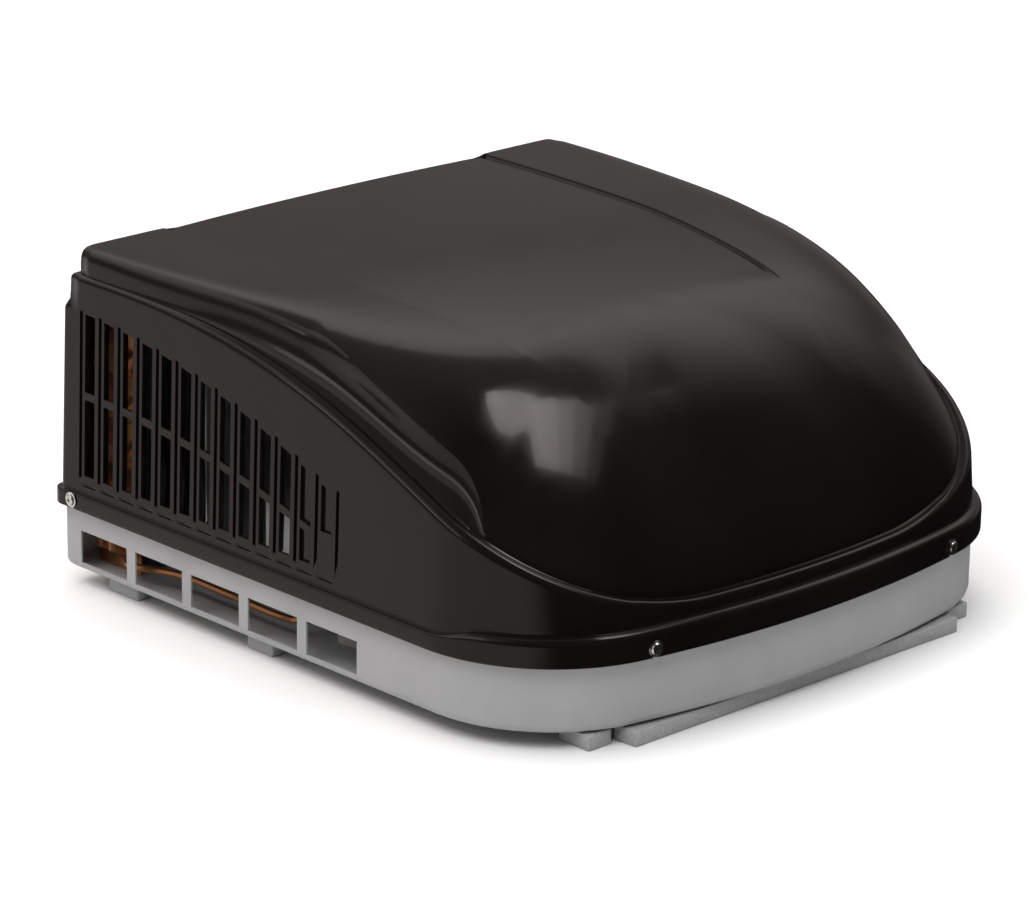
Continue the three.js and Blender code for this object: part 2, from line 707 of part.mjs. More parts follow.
function addEvaporator() {
  const floor = FLOOR_Z + TOUCH_GAP;
  let housing = housingSolid(0, floor).subtract(housingSolid(HOUSING_WALL, floor - 5));
  housing = housing.subtract(toSolid(turnedY([[0, -10], [18, -10], [18, 15], [0, 15]], 16)));
  piece('evaporator_housing', toGeometry(housing), whiteFoam);
  piece('evaporator_fin_pack', block([-190, -215, 24], [190, -165, 180]), finStock);
  piece('evaporator_tube_plate_left', block([-192, -218, floor], [-190.4, -162, 184]), galvanised);
  piece('evaporator_tube_plate_right', block([190.4, -218, floor], [192, -162, 184]), galvanised);
}

// ---------------------------------------------------------------- compressor and pipes
const COMPRESSOR = { x: 185, y: 120, radius: 60 };
const ACCUMULATOR = { x: 277, y: 150, radius: 24 };

function mountPoints() {
  return [90, 210, 330].map((degrees) => {
    const angle = THREE.MathUtils.degToRad(degrees);
    return [COMPRESSOR.x + 76 * Math.cos(angle), COMPRESSOR.y + 76 * Math.sin(angle)];
  });
}

function addCompressor() {
  const can = [
    [0, 38], [40, 38], [58, 44], [60, 52], [60, 222], [56, 236], [42, 246], [18, 250], [0, 250],
  ];
  const body = turnedZ(can).translate(COMPRESSOR.x, COMPRESSOR.y, 0);
  const corners = mountPoints().map(([x, y]) => new THREE.Vector2(x, y));
  const middle = new THREE.Vector2(COMPRESSOR.x, COMPRESSOR.y);
  const outline = corners.flatMap((corner) => {
    const out = corner.clone().sub(middle).normalize();
    const across = new THREE.Vector2(-out.y, out.x);
    return [-13, 13].map((s) => corner.clone().addScaledVector(out, 13).addScaledVector(across, s));
  });
  const options = { depth: 4, bevelEnabled: false };
  const base = new THREE.ExtrudeGeometry(new THREE.Shape(outline), options).translate(0, 0, 36);
  const holes = mountPoints().map(([x, y]) => rodZ(4.4, 30, 44, 10).translate(x, y, 0));
  const solid = holes.reduce((rest, hole) => rest.subtract(toSolid(hole)), join([body, base]));
  piece('compressor', toGeometry(solid), blackEnamel);
  mountPoints().forEach(([x, y], i) => {
    const grommet = turnedZ(ringCorners(4.4, 12, FLOOR_Z + TOUCH_GAP, 35.6), 14).translate(x, y, 0);
    piece(`compressor_grommet_${i + 1}`, grommet, rubber);
    const foot = FLOOR_Z + TOUCH_GAP;
    const stud = [[0, foot], [4, foot], [4, 40.5], [8, 40.5], [8, 46], [0, 46]];
    piece(`compressor_stud_${i + 1}`, turnedZ(stud, 12).translate(x, y, 0), steel);
  });
  const tank = [[0, 96], [14, 98], [24, 106], [24, 214], [14, 222], [0, 224]];
  piece('suction_accumulator', turnedZ(tank, 16).translate(ACCUMULATOR.x, ACCUMULATOR.y, 0), blackEnamel);
  piece('terminal_cover', block([96, 100, 150], [124.2, 140, 205]), darkPlastic);
}

function addPipes() {
  const { x, y } = COMPRESSOR;
  piece('discharge_line', tube([
    [x, y, 250.5], [x, y, 275], [x + 18, y + 14, 296], [x + 70, y + 50, 304], [x + 108, y + 96, 302],
    [x + 132, y + 134, 300], [x + 143, y + 156, 300], [x + 141, y + 170, 300], [x + 134, y + 173, 300],
    [COIL_X + 2.5, y + 173, 300],
  ], TUBE_RADIUS, 8, 22), copper);
  piece('suction_line', tube([
    [230, 8.8, 60], [230, 20, 60], [244, 38, 80], [268, 60, 150], [277, 90, 220], [278, 120, 252],
    [277, 142, 258], [277, 150, 248], [ACCUMULATOR.x, ACCUMULATOR.y, 224.5],
  ], 6, 8, 22), copper);
  piece('compressor_inlet', tube([
    [ACCUMULATOR.x, ACCUMULATOR.y, 95.6], [ACCUMULATOR.x, ACCUMULATOR.y, 82],
    [ACCUMULATOR.x - 8, ACCUMULATOR.y - 2.6, 74], [x + 61.4 * 0.95, y + 61.4 * 0.31, 74],
  ], 5, 8, 10), copper);
  piece('liquid_line', tube([
    [-COIL_X - 2.5, 293, 36], [-320, 293, 36], [-328, 287, 36], [-328, 276, 35], [-316, 250, 34],
    [-306, 220, 34], [-304, 150, 33],
    [-304, 60, 33], [-298, 42, 34], [-280, 34, 36], [-266, 27, 38], [-262, 18, 38], [-262, 8.8, 38],
  ], 4, 8, 24), copper);
}

// ---------------------------------------------------------------- electrical box
const BOX_LOW = [-250, 44, FLOOR_Z + TOUCH_GAP];
const BOX_HIGH = [-140, 156, 118];
const BOX_WALL = 1.5;

function addElectrics() {
  const hollowLow = BOX_LOW.map((value) => value + BOX_WALL);
  const hollowHigh = [BOX_HIGH[0] - BOX_WALL, BOX_HIGH[1] - BOX_WALL, BOX_HIGH[2] + 10];
  const tray = cut(block(BOX_LOW, BOX_HIGH), [block(hollowLow, hollowHigh)]);
  piece('electrical_box', toGeometry(tray), galvanised);
  const lidZ = BOX_HIGH[2] + TOUCH_GAP;
  piece('electrical_box_lid', block([-252, 42, lidZ], [-138, 158, lidZ + BOX_WALL]), galvanised);
  const can = [[0, 20.2], [22, 20.2], [22, 96], [20, 98], [0, 98]];
  piece('run_capacitor', turnedZ(can, 16).translate(-222, 72, 0), steel);
  piece('start_relay', block([-190, 110, 20.2], [-150, 150, 70]), darkPlastic);
  piece('motor_lead', tube([
    [-139.4, 92, 92], [-130, 92, 92], [-118, 92, 87], [-106, 93, 80], [-91, 92, 90],
    [-85, 90, 112], [-83, 87, 130], [-76, 86, 140], [-66.8, 86, 140],
  ], 3, 6, 12), redCable);
  piece('compressor_lead', tube([
    [-139.4, 60, 50], [-130, 60, 50], [-118, 56, 44], [-100, 42, 32], [-60, 32, 24], [0, 30, 23],
    [60, 33, 25], [86, 44, 40], [94, 70, 66], [103, 98, 96], [109, 114, 120], [110, 120, 136],
    [110, 120, 149.6],
  ], 3, 6, 26), darkPlastic);
}

addCover();
addPan();
addSupports();
addFasteners();
addCondenser();
addMotor();
addFan();
addBlower();
addBlowerHousing();
addEvaporator();
addCompressor();
addPipes();
addElectrics();

export default group;
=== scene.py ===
"""Rooftop air conditioner for a caravan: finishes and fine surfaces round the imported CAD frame.

Lengths in the shape functions are millimetres in the frame's own axes, and meshes are made in metres.
"""
import json
import math

import bmesh
import bpy
import numpy as np
from mathutils import Matrix, Vector


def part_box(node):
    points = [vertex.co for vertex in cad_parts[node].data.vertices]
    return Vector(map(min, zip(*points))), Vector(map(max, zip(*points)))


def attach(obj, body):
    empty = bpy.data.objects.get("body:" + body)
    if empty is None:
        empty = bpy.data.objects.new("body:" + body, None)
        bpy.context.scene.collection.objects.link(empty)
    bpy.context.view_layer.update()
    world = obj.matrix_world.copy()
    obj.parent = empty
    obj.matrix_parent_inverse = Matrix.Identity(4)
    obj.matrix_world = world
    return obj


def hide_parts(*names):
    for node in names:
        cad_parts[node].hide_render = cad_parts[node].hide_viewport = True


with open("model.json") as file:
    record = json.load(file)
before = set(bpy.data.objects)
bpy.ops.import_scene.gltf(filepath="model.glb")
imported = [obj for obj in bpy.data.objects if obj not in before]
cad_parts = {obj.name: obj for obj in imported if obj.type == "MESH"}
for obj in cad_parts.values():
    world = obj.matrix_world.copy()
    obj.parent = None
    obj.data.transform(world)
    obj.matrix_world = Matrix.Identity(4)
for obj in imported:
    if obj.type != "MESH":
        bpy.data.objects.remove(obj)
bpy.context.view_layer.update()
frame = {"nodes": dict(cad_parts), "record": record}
MM = 0.001


def node_box(node):
    """Lowest and highest corner of a CAD node, in millimetres."""
    low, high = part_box(node)
    return np.array(low) / MM, np.array(high) / MM


# ------------------------------------------------------------------ driving dimensions
COVER_LOW, COVER_HIGH = node_box("cover")
WIDTH = COVER_HIGH[0] - COVER_LOW[0]
LENGTH = 737.0
LIP_Z = COVER_LOW[2]
TOP_RISE = COVER_HIGH[2] - COVER_LOW[2]
REAR_RADIUS = 14.0
NOSE_RADIUS = 161.5
BOW_RADIUS = 1200.0
COVER_WALL = 3.0

LIP_SIDE = (15.6, 1.8)
LIP_FRONT = (20.5, 8.6)
WALL_INSET = 6.0
WALL_START = 24.0
WALL_DRAFT = 0.029
ROLL_WIDTH = 3.0
NOSE_LEAN = 7.0
LEAN_RUN = (450, 740)
FRONT_Y = (195, 255)

RIDGE_HIGH = 244.0
RIDGE_LOW = 43.0
RIDGE_RUN = 830.0
RIDGE_SKEW = 1.47
RIDGE_ROUND = 6.0
RIDGE_ROUND_SIDE = 9.0
RIDGE_ROUND_NOSE = 5.0
ROUND_SIDE_RUN = (60, 300)
ROUND_NOSE_RUN = (640, 800)
SHELF_REAR = 7.0
SHELF_WIDTH = 13.0
SHELF_GROWTH = 3.0
SHELF_GROWTH_NOSE = 3.5
SHELF_RUN = (40, 250)
SHELF_GROWTH_RUN = (400, 620)
SHELF_NOSE_RUN = (500, 740)
VALLEY_DEPTH = 0.8
VALLEY_RUN = (60, 300)
VALLEY_FADE_RUN = (560, 700)

FOCUS_FRONT = -111.0
FOCUS_BEND = 60.0
FOCUS_REAR = 330.0
LEVEL_Y = 93.0
LEVEL_BLEND = 40.0
NOSE_FALL = 6.3
NOSE_FALL_POWER = 1.42
SQUARE_REAR = 80.0
SQUARE_NOSE = 2.4
SQUARE_RUN = (-100, 740)
SHOULDER_REAR = 3.8
SHOULDER_NOSE = 1.2
SHOULDER_RUN = (317, 593)

SCOOP_DEPTH = 12.5
SCOOP_HEIGHT = 47.0
SCOOP_END_HEIGHT = 8.0
SCOOP_RUN = (90, 400)
SCOOP_END = 578.0
SCOOP_TAPER = 50.0
SCOOP_LIMIT = 0.93
SCOOP_STEEPEST = 0.4
CREASE_DROP = 3.2
CREASE_HALF_WIDTH = 1.1
CREASE_END_Y = -142.0
CREASE_FADE = 45.0
CREASE_MOST = 0.8
CREASE_GAP = 0.06

LOUVRE_COUNT = 13
LOUVRE_FIRST_Y = 315.0
LOUVRE_PITCH = 29.85
LOUVRE_WIDTH = 15.5
LOUVRE_BAR = 8.0
LOUVRE_LOW = 37.0
LAST_LOUVRE_LOW = 74.0
BLANK_LOUVRES = 2
FAR = 1000.0
GROOVE_REAR = 4.0
GROOVE_WIDTH = 4.6
GROOVE_DEPTH = 6.5
NOTCH_DEPTH = 1.6
EDGE = 0.5
REAR_LOUVRE_PITCH = 36.0
REAR_LOUVRE_WIDTH = 22.0
REAR_LOUVRES = 17

SCREW_X = 208.7
SCREW_Y = 336.0
SCREW_Z = LIP_Z + 9.8
SLOT_WIDTH = 6.0
SLOT_TOP = 12.8

PAN_INSET = 9.5
PAN_WALL = 2.0
PAN_RADIUS = 12.0
WINDOW_LOW = 26.0
WINDOW_HIGH = 61.0
WINDOW_FIRST_Y = 297.0
WINDOW_PITCH = 86.5
WINDOW_WIDTH = 73.0
WINDOWS = 5
PAN_OPENINGS = (((-165.0, -275.0), (165.0, -160.0)), ((16.0, -121.0), (91.0, -21.0)))


def smooth(value, start, end):
    share = np.clip((value - start) / (end - start), 0, 1)
    return share * share * (3 - 2 * share)


def lerp(a, b, share):
    return a + (b - a) * share


# ------------------------------------------------------------------ plan outline
BOW_CENTRE_Y = -LENGTH / 2 + BOW_RADIUS
NOSE_X = -(WIDTH / 2 - NOSE_RADIUS)
NOSE_Y = BOW_CENTRE_Y - math.sqrt((BOW_RADIUS - NOSE_RADIUS) ** 2 - NOSE_X ** 2)
NOSE_SWEEP = math.acos(-NOSE_X / (BOW_RADIUS - NOSE_RADIUS))
SIDE_TOP_Y = LENGTH / 2 - REAR_RADIUS
RUN_INSET = 12
RUN_START_Y = SIDE_TOP_Y - RUN_INSET
CORNER_X = WIDTH / 2 - REAR_RADIUS
REAR, CORNER, SIDE, NOSE, BOW = range(5)


class Outline:
    """The left half of the plan, from the middle of the rear to the middle of the front.

    Each station is a place along it that keeps its name at every inset.
    """

    def __init__(self, rear_x, side_y, bow_x, corner_steps=8, nose_steps=34):
        stations = [(REAR, x) for x in sorted(rear_x)]
        stations += [(CORNER, math.pi / 2 * (1 + i / corner_steps)) for i in range(corner_steps + 1)]
        stations += [(SIDE, y) for y in sorted(side_y, reverse=True)]
        stations += [(NOSE, math.pi + NOSE_SWEEP * i / nose_steps) for i in range(nose_steps + 1)]
        stations += [(BOW, -math.pi / 2 - math.asin(x / BOW_RADIUS)) for x in sorted(bow_x, reverse=True)]
        self.kind = np.array([kind for kind, _ in stations])
        self.value = np.array([value for _, value in stations], float)
        self.lip = self.at(np.zeros(len(stations)))
        self.run = edge_run(*self.lip)

    def at(self, inset):
        """Plan positions at an inset that may differ from station to station."""
        kind, value = self.kind, self.value
        rear_radius = np.maximum(REAR_RADIUS - inset, 2)
        side_x = -(WIDTH / 2 - inset)
        rear_y = LENGTH / 2 - inset
        corner_x = side_x + rear_radius
        corner_y = rear_y - rear_radius
        nose_radius = NOSE_RADIUS - inset
        bow_radius = BOW_RADIUS - inset
        share = (SIDE_TOP_Y - value) / (SIDE_TOP_Y - NOSE_Y)
        x = np.select(
            [kind == REAR, kind == CORNER, kind == SIDE, kind == NOSE],
            [corner_x * value / CORNER_X, corner_x + rear_radius * np.cos(value), side_x,
             NOSE_X + nose_radius * np.cos(value)],
            bow_radius * np.cos(value))
        y = np.select(
            [kind == REAR, kind == CORNER, kind == SIDE, kind == NOSE],
            [rear_y, corner_y + rear_radius * np.sin(value), lerp(corner_y, NOSE_Y, share),
             NOSE_Y + nose_radius * np.sin(value)],
            BOW_CENTRE_Y + bow_radius * np.sin(value))
        return x, y


def edge_run(x, y):
    """Distance along the cover's edge from the rear corner towards the middle of the nose."""
    side = np.clip(RUN_START_Y - y, 0, RUN_START_Y - NOSE_Y)
    reach = NOSE_RADIUS - RUN_INSET
    angle = np.where(y < NOSE_Y, np.arctan2(NOSE_Y - y, np.maximum(NOSE_X + np.abs(x), 1e-9)), 0)
    bow_start = -(NOSE_X + reach * math.cos(math.pi + NOSE_SWEEP))
    along = np.where(y < NOSE_Y, np.maximum(bow_start - np.abs(x), 0), 0)
    return side + reach * np.clip(angle, 0, NOSE_SWEEP) + along


# ------------------------------------------------------------------ cover shape
def ridge_height(run):
    share = np.minimum(run / RIDGE_RUN, 1)
    return RIDGE_LOW + (RIDGE_HIGH - RIDGE_LOW) * (1 + np.cos(np.pi * share ** RIDGE_SKEW)) / 2


def ridge_round(run):
    side = lerp(RIDGE_ROUND, RIDGE_ROUND_SIDE, smooth(run, *ROUND_SIDE_RUN))
    return lerp(side, RIDGE_ROUND_NOSE, smooth(run, *ROUND_NOSE_RUN))


def wall_top(run):
    return ridge_height(run) - ridge_round(run) - 1


def top_height(y):
    ahead = LEVEL_Y - y
    fall = (ahead + np.hypot(ahead, LEVEL_BLEND)) / 2
    return TOP_RISE - NOSE_FALL * (fall / 100) ** NOSE_FALL_POWER


def focus_for(foot_y):
    reach = FOCUS_BEND - FOCUS_FRONT
    ahead = np.minimum(foot_y - FOCUS_BEND, 0)
    return np.where(foot_y > FOCUS_BEND, np.minimum(foot_y, FOCUS_REAR),
                    FOCUS_BEND - reach * (1 - np.exp(ahead / reach)))


def crease_x(y):
    """Half width of the middle panel between the two rails."""
    ahead = np.clip(340 - y, 0, 560)
    return 223 - 0.0117 * ahead - 0.000156 * ahead ** 2


def louvre_top(run):
    return 206 - 0.066 * run - 0.000503 * run ** 2


def louvre_bar(run):
    return 121 - 0.011 * run - 0.000422 * run ** 2


def louvre_y(column):
    return LOUVRE_FIRST_Y - column * LOUVRE_PITCH


LAST_LOUVRE_RUN = (LOUVRE_COUNT - 1) * LOUVRE_PITCH


def side_stations():
    """Places along the side: the edges of every louvre and groove, then an even spacing."""
    places = [348.0, SCREW_Y + SLOT_WIDTH / 2, SCREW_Y, SCREW_Y - SLOT_WIDTH / 2]
    for column in range(LOUVRE_COUNT + 1):
        y = louvre_y(column)
        groove = y + LOUVRE_WIDTH / 2 + GROOVE_REAR
        places += [groove + GROOVE_WIDTH, groove + GROOVE_WIDTH - EDGE, groove + EDGE, groove]
        if column < LOUVRE_COUNT:
            places += [y + LOUVRE_WIDTH / 2, y, y - LOUVRE_WIDTH / 2]
    places += list(np.linspace(louvre_y(LOUVRE_COUNT) - 2, NOSE_Y + 8, 18))
    return places


def rear_stations():
    places = [0.0, 219.0, 225.0, 230.0, 333.0]
    for column in range(REAR_LOUVRES // 2 + 1):
        x = column * REAR_LOUVRE_PITCH
        places += [abs(x - REAR_LOUVRE_WIDTH / 2), x + REAR_LOUVRE_WIDTH / 2]
    return sorted(set(places))


def bow_stations():
    slot = [SCREW_X + SLOT_WIDTH / 2, SCREW_X, SCREW_X - SLOT_WIDTH / 2]
    return slot + list(np.linspace(BOW_RADIUS * math.cos(NOSE_SWEEP) * 0.97, 0, 17))


COVER_PLAN = Outline(rear_stations(), side_stations(), bow_stations())
LIP_TURNS = 7
LOW_WALL_Z = [19.0, 21.0, 23.0, 25.4, 25.9, 28.2, 28.7, 31.0, 33.5]
LOW_WALL_FRONT = (30.8, 35.0)
HELD_RUN = 405.0
UPPER_WALL_SHARES = [0.08, 0.32, 0.6, 0.92]
STEP_LOW = (205.0, 218.0, 4.0)
STEP_HIGH = (241.0, 249.0, 6.0)
SCOOP_SHARES = [0.04, 0.12, 0.24, 0.38, 0.52, 0.66, 0.8, 0.92, 1.0]
SHOULDER_STEPS = 16
SHOULDER_END = 1.45
RIDGE_TURNS = [0.0, 0.2, 0.4, 0.6, 0.8, 1.0]
CREASE_OFFSETS = [3.0, 1.5, 1.0, 0.5, 0.0, -0.5, -1.0, -1.5, -3.0]
INNER_SHARES = [0.85, 0.7, 0.55, 0.4, 0.28, 0.18, 0.09, 0.0]
LIP_FOOT = [(1.0, 0.0), (0.2, 0.8), (0.0, 2.0), (0.0, 7.0), (0.0, SLOT_TOP)]
LIP_ROWS = len(LIP_FOOT) + LIP_TURNS + 2


def wall_rows(plan):
    """Height of every wall row at every station, with rows on the louvres' edges."""
    louvre_run = np.clip(LOUVRE_FIRST_Y - plan.lip[1], 0, LAST_LOUVRE_RUN + LOUVRE_WIDTH / 2)
    foot = lerp(LOW_WALL_Z[-1], LOW_WALL_FRONT[1], front_share(plan))
    held_top = wall_top(np.minimum(plan.run, HELD_RUN))
    pitches_left = (LAST_LOUVRE_RUN - louvre_run) / LOUVRE_PITCH
    last = smooth(-pitches_left, -0.7, -0.4)
    low = lerp(LOUVRE_LOW, LAST_LOUVRE_LOW, last)
    top = louvre_top(louvre_run)
    bar = np.minimum(louvre_bar(louvre_run), top - 12)
    bar = np.where(last > 0.5, (low + top) / 2, bar)
    levels = [low, bar - LOUVRE_BAR / 2, bar + LOUVRE_BAR / 2, top]
    levels += [lerp(top, held_top, share) for share in UPPER_WALL_SHARES]
    shares = [(level - foot) / (held_top - foot) for level in levels]
    return [lerp(foot, wall_top(plan.run), share) for share in shares]


def front_share(plan):
    """0 along the side and rear, 1 round the nose, where the lip rolls over into the wall."""
    return smooth(-plan.lip[1], *FRONT_Y)


def cover_rows(plan):
    """The cover's outer surface as a list of rows, each an array of points, from lip to spine."""
    run, lip_y = plan.run, plan.lip[1]
    ridge = ridge_height(run)
    front = front_share(plan)
    lean = np.maximum(NOSE_LEAN * smooth(run, *LEAN_RUN), ROLL_WIDTH * front)
    round_size = ridge_round(run)
    at_rear = np.where(plan.kind <= CORNER, 1.0, 1 - smooth(SIDE_TOP_Y - lip_y, 0, 22))

    def wall_inset(z):
        steps = sum(depth * smooth(z, low, high) for low, high, depth in (STEP_LOW, STEP_HIGH))
        roll = ROLL_WIDTH * front
        upward = np.clip((z - WALL_START) / np.maximum(ridge - WALL_START, 1), 0, 1)
        return WALL_INSET + WALL_DRAFT * (z - WALL_START) + roll + (lean - roll) * upward + at_rear * steps

    rows = []

    def add(inset, z):
        x, y = plan.at(inset + 0 * run)
        rows.append(np.stack([x, y, LIP_Z + z + 0 * run], 1))

    for inset, z in LIP_FOOT:
        add(inset, z)
    band = lerp(LIP_SIDE[0], LIP_FRONT[0], front)
    radius = lerp(LIP_SIDE[1], LIP_FRONT[1], front)
    for i in range(LIP_TURNS):
        turn = math.pi / 2 * i / (LIP_TURNS - 1)
        add(radius * (1 - math.cos(turn)), band + radius * math.sin(turn))
    lip_top = band + radius
    add(lerp(4.6, 8.9, front), lip_top + 0.1)
    add(lerp(5.5, 9.1, front), lip_top + lerp(0.6, 0.4, front))
    for z in LOW_WALL_Z:
        share = (z - LOW_WALL_Z[0]) / (LOW_WALL_Z[-1] - LOW_WALL_Z[0])
        height = lerp(z, lerp(*LOW_WALL_FRONT, share), front)
        add(wall_inset(height), height)
    for z in wall_rows(plan):
        add(wall_inset(z), z)
    edge = wall_inset(wall_top(run))
    shelf = lerp(SHELF_REAR, SHELF_WIDTH, smooth(run, *SHELF_RUN))
    shelf = shelf + SHELF_GROWTH * smooth(run, *SHELF_GROWTH_RUN)
    shelf = shelf + SHELF_GROWTH_NOSE * smooth(run, *SHELF_NOSE_RUN) - lean
    for share in RIDGE_TURNS:
        turn = math.pi / 2 * share
        add(edge + round_size * (1 - math.cos(turn)), wall_top(run) + round_size * math.sin(turn))
    valley = VALLEY_DEPTH * smooth(run, *VALLEY_RUN) * (1 - 0.4 * smooth(run, *VALLEY_FADE_RUN))
    add(edge + lerp(round_size, shelf, 0.35), ridge - 1 - valley * 0.35)
    add(edge + lerp(round_size, shelf, 0.7), ridge - 1 - valley * 0.85)
    foot_x, foot_y = plan.at(edge + shelf)
    rows += dome_rows(plan, foot_x, foot_y, ridge - valley - 0.4)
    return rows


def dome_rows(plan, foot_x, foot_y, base):
    """Superellipse sections from the ridge to the spine, with rows on the scoop and the creases."""
    run = plan.run
    square = SQUARE_REAR * (SQUARE_NOSE / SQUARE_REAR) ** smooth(run, *SQUARE_RUN)
    shoulder = lerp(SHOULDER_REAR, SHOULDER_NOSE, smooth(run, *SHOULDER_RUN))
    focus_y = focus_for(foot_y)
    full_rise = top_height(focus_y) - base
    taper = 1 - np.clip((run - SCOOP_END + SCOOP_TAPER) / SCOOP_TAPER, 0, 1) ** 2
    highest = SCOOP_LIMIT * full_rise
    scoop_height = lerp(SCOOP_END_HEIGHT, np.minimum(SCOOP_HEIGHT, highest), np.sqrt(taper))
    scoop_height = np.minimum(scoop_height, highest)
    scoop_depth = SCOOP_DEPTH * smooth(run, *SCOOP_RUN) * taper ** 0.75
    scoop_depth = np.minimum(scoop_depth, SCOOP_STEEPEST * scoop_height)
    length = np.hypot(foot_x, foot_y - focus_y)

    def share_at(height_share):
        return np.maximum(1 - height_share ** shoulder, 0) ** (1 / square)

    def point(share, inward):
        share = share - inward / length
        y = focus_y + (foot_y - focus_y) * share
        height_share = np.maximum(1 - (share + inward / length) ** square, 0) ** (1 / shoulder)
        z = base + np.maximum(top_height(y) - base, 4) * height_share
        x = foot_x * share
        limit = crease_x(y)
        fade = smooth(y, CREASE_END_Y, CREASE_END_Y + CREASE_FADE)
        inside = 1 - smooth(np.abs(x), limit - CREASE_HALF_WIDTH, limit + CREASE_HALF_WIDTH)
        z = z - CREASE_DROP * fade * inside * np.clip(np.abs(x) / limit, 0, 1) ** 2
        return np.stack([x, y, LIP_Z + z], 1)

    rows = []
    for part in SCOOP_SHARES:
        hollow = math.sin(math.pi * part ** 0.85)
        rows.append(point(share_at(part * scoop_height / full_rise), scoop_depth * hollow))
    crease = np.minimum(crease_share(foot_x, foot_y, focus_y), CREASE_MOST)
    end = np.maximum(math.cos(SHOULDER_END) ** (2 / square), crease + CREASE_GAP)
    start = np.arcsin(np.clip((scoop_height / full_rise) ** (shoulder / 2), 0, 0.999))
    last = np.arccos(end ** (square / 2))
    for i in range(1, SHOULDER_STEPS + 1):
        angle = lerp(start, last, i / SHOULDER_STEPS)
        rows.append(point(np.cos(angle) ** (2 / square), 0))
    for part in (0.25, 0.5, 0.75):
        rows.append(point(lerp(end, crease, part * 0.9), 0))
    step = np.minimum(CREASE_HALF_WIDTH / np.maximum(np.abs(foot_x), 1), 0.01)
    for offset in CREASE_OFFSETS:
        rows.append(point(np.maximum(crease + offset * step, 0), 0))
    inner = np.maximum(crease + CREASE_OFFSETS[-1] * step, 0)
    for part in INNER_SHARES:
        rows.append(point(inner * part, 0))
    return rows


def crease_share(foot_x, foot_y, focus_y):
    """Share of the way from spine to foot at which each section crosses the crease."""
    low, high = 0 * foot_x, 1 + 0 * foot_x
    for _ in range(24):
        middle = (low + high) / 2
        beyond = np.abs(foot_x) * middle > crease_x(focus_y + (foot_y - focus_y) * middle)
        low, high = np.where(beyond, low, middle), np.where(beyond, middle, high)
    return high


# ------------------------------------------------------------------ mesh helpers
def add_object(name, mesh, material, body, replaced=()):
    piece = bpy.data.objects.new(name, mesh)
    bpy.context.scene.collection.objects.link(piece)
    mesh.materials.clear()
    mesh.materials.append(material)
    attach(piece, body)
    if replaced:
        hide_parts(*replaced)
    return piece


def mesh_from(name, points, faces, merge=0.00002, sharp=35.0):
    """A smooth-shaded mesh with faces pointing out, from points in millimetres."""
    build = bmesh.new()
    verts = [build.verts.new(Vector(point) * MM) for point in points]
    for face in faces:
        build.faces.new([verts[i] for i in face])
    bmesh.ops.remove_doubles(build, verts=build.verts, dist=merge)
    bmesh.ops.dissolve_degenerate(build, dist=merge, edges=build.edges)
    bmesh.ops.recalc_face_normals(build, faces=build.faces)
    mesh = bpy.data.meshes.new(name)
    build.to_mesh(mesh)
    build.free()
    finish_shading(mesh, sharp)
    return mesh


def finish_shading(mesh, sharp=35.0):
    mesh.polygons.foreach_set("use_smooth", [True] * len(mesh.polygons))
    mesh.set_sharp_from_angle(angle=math.radians(sharp))


def apply_modifiers(piece):
    """Replaces the mesh by its evaluated copy and drops the modifiers."""
    graph = bpy.context.evaluated_depsgraph_get()
    mesh = bpy.data.meshes.new_from_object(piece.evaluated_get(graph))
    old = piece.data
    piece.modifiers.clear()
    piece.data = mesh
    bpy.data.meshes.remove(old)


def fill_floor(mesh, level, openings):
    """Closes a sheet's lowest ring with a flat floor that keeps its rectangular openings."""
    build = bmesh.new()
    build.from_mesh(mesh)
    edges = [edge for edge in build.edges
             if edge.is_boundary and all(abs(vert.co.z - level * MM) < 1e-6 for vert in edge.verts)]
    for (x0, y0), (x1, y1) in openings:
        corners = [build.verts.new(Vector((x, y, level)) * MM)
                   for x, y in ((x0, y0), (x1, y0), (x1, y1), (x0, y1))]
        edges += [build.edges.new((corners[i], corners[(i + 1) % 4])) for i in range(4)]
    bmesh.ops.triangle_fill(build, edges=edges, use_beauty=True)
    bmesh.ops.recalc_face_normals(build, faces=build.faces)
    build.to_mesh(mesh)
    build.free()
    finish_shading(mesh)


def shell(name, plan, rows, is_open, wall, material, body, replaced, openings=()):
    """A mirrored sheet of rows and stations, less its openings, thickened to a closed shell.

    Rectangular openings, if given, are left in a flat floor that closes the first row.
    """
    count = len(plan.value)
    ring = [(i, False) for i in range(count)] + [(i, True) for i in range(count - 2, 0, -1)]
    points = []
    for row in rows:
        points += [(-row[i][0] if flip else row[i][0], row[i][1], row[i][2]) for i, flip in ring]
    size = len(ring)
    faces = []
    for r in range(len(rows) - 1):
        for k in range(size):
            after = (k + 1) % size
            station = min(ring[k][0], ring[after][0])
            if not is_open(r, station):
                faces.append((r * size + k, r * size + after, (r + 1) * size + after, (r + 1) * size + k))
    mesh = mesh_from(name, points, faces)
    if openings:
        fill_floor(mesh, rows[0][0][2], openings)
    piece = add_object(name, mesh, material, body, replaced)
    thick = piece.modifiers.new("wall", "SOLIDIFY")
    thick.thickness = wall * MM
    thick.offset = -1
    thick.use_even_offset = False
    apply_modifiers(piece)
    finish_shading(piece.data)
    return piece


